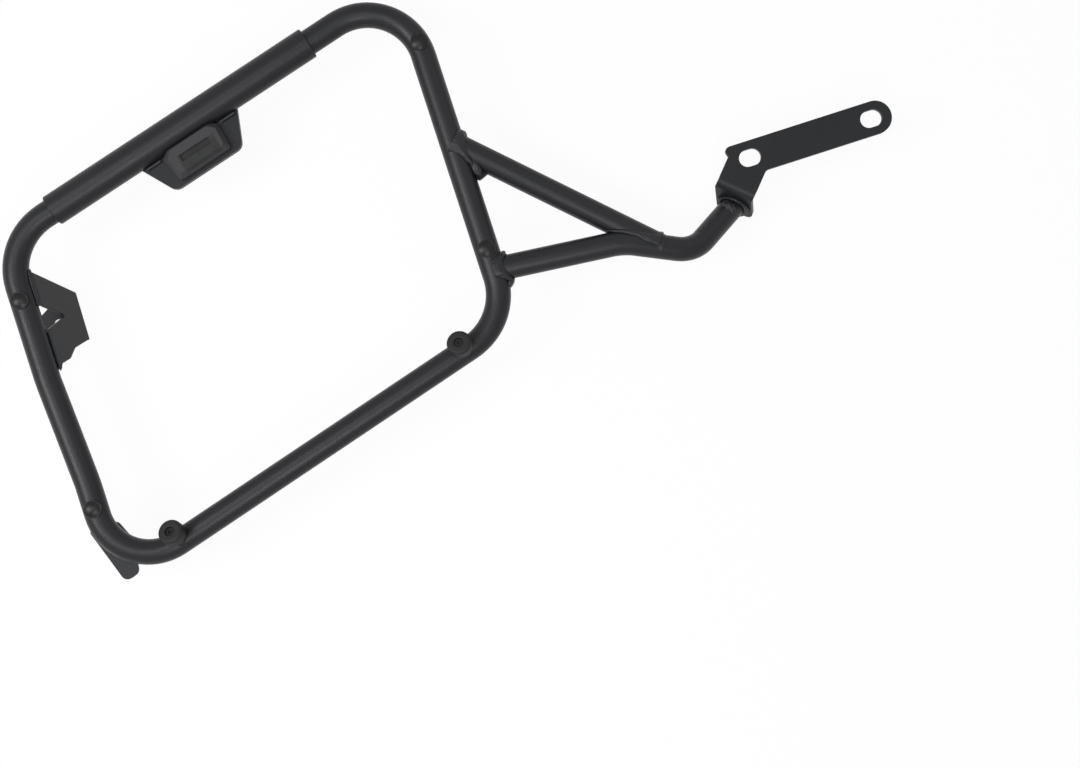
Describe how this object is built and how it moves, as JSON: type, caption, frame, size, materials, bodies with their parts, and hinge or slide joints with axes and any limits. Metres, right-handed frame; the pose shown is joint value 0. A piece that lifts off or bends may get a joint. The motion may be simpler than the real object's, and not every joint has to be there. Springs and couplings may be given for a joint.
{
  "type": "pannier frame",
  "caption": "Side case frame for a motorcycle: a bent tube loop with case studs and rubber buffers, on a coped tube stay with a slotted bolt-on plate and folded rear brackets.",
  "frame": {"origin": "middle between the two slots of the mounting plate, on the plate's inboard face", "axes": "+X forward along the two slots, +Y up along the loop's side tubes, +Z outward, away from the motorcycle"},
  "size_m": [0.7103, 0.3759, 0.0783],
  "materials": {
    "powder_coat": "satin black powder coat",
    "plate_coat": "satin black powder coat on sheet",
    "weld_coat": "satin black powder coat over a weld bead",
    "plug_black": "fine matt plastic",
    "buffer_rubber": "matt moulded rubber",
    "pad_rubber": "matt moulded rubber",
    "dark_screw": "blackened steel"
  },
  "bodies": {
    "root": {"loop_tube": "powder_coat", "top_sleeve": "powder_coat", "stud_bosses": "powder_coat", "stud_plugs": "plug_black", "buffer_seats": "powder_coat", "rubber_buffers": "buffer_rubber", "buffer_screws": "dark_screw", "upper_brace": "powder_coat", "lower_arm": "powder_coat", "brace_gusset": "powder_coat", "brace_weld": "weld_coat", "arm_weld": "weld_coat", "stay_weld": "weld_coat", "plate_weld": "weld_coat", "mount_plate": "plate_coat", "rear_bracket": "plate_coat", "bracket_welds": "weld_coat", "crossbar_tab": "plate_coat", "tab_welds": "weld_coat", "latch_plate": "plate_coat", "latch_welds": "weld_coat", "latch_pad": "pad_rubber"}
  },
  "joints": []
}
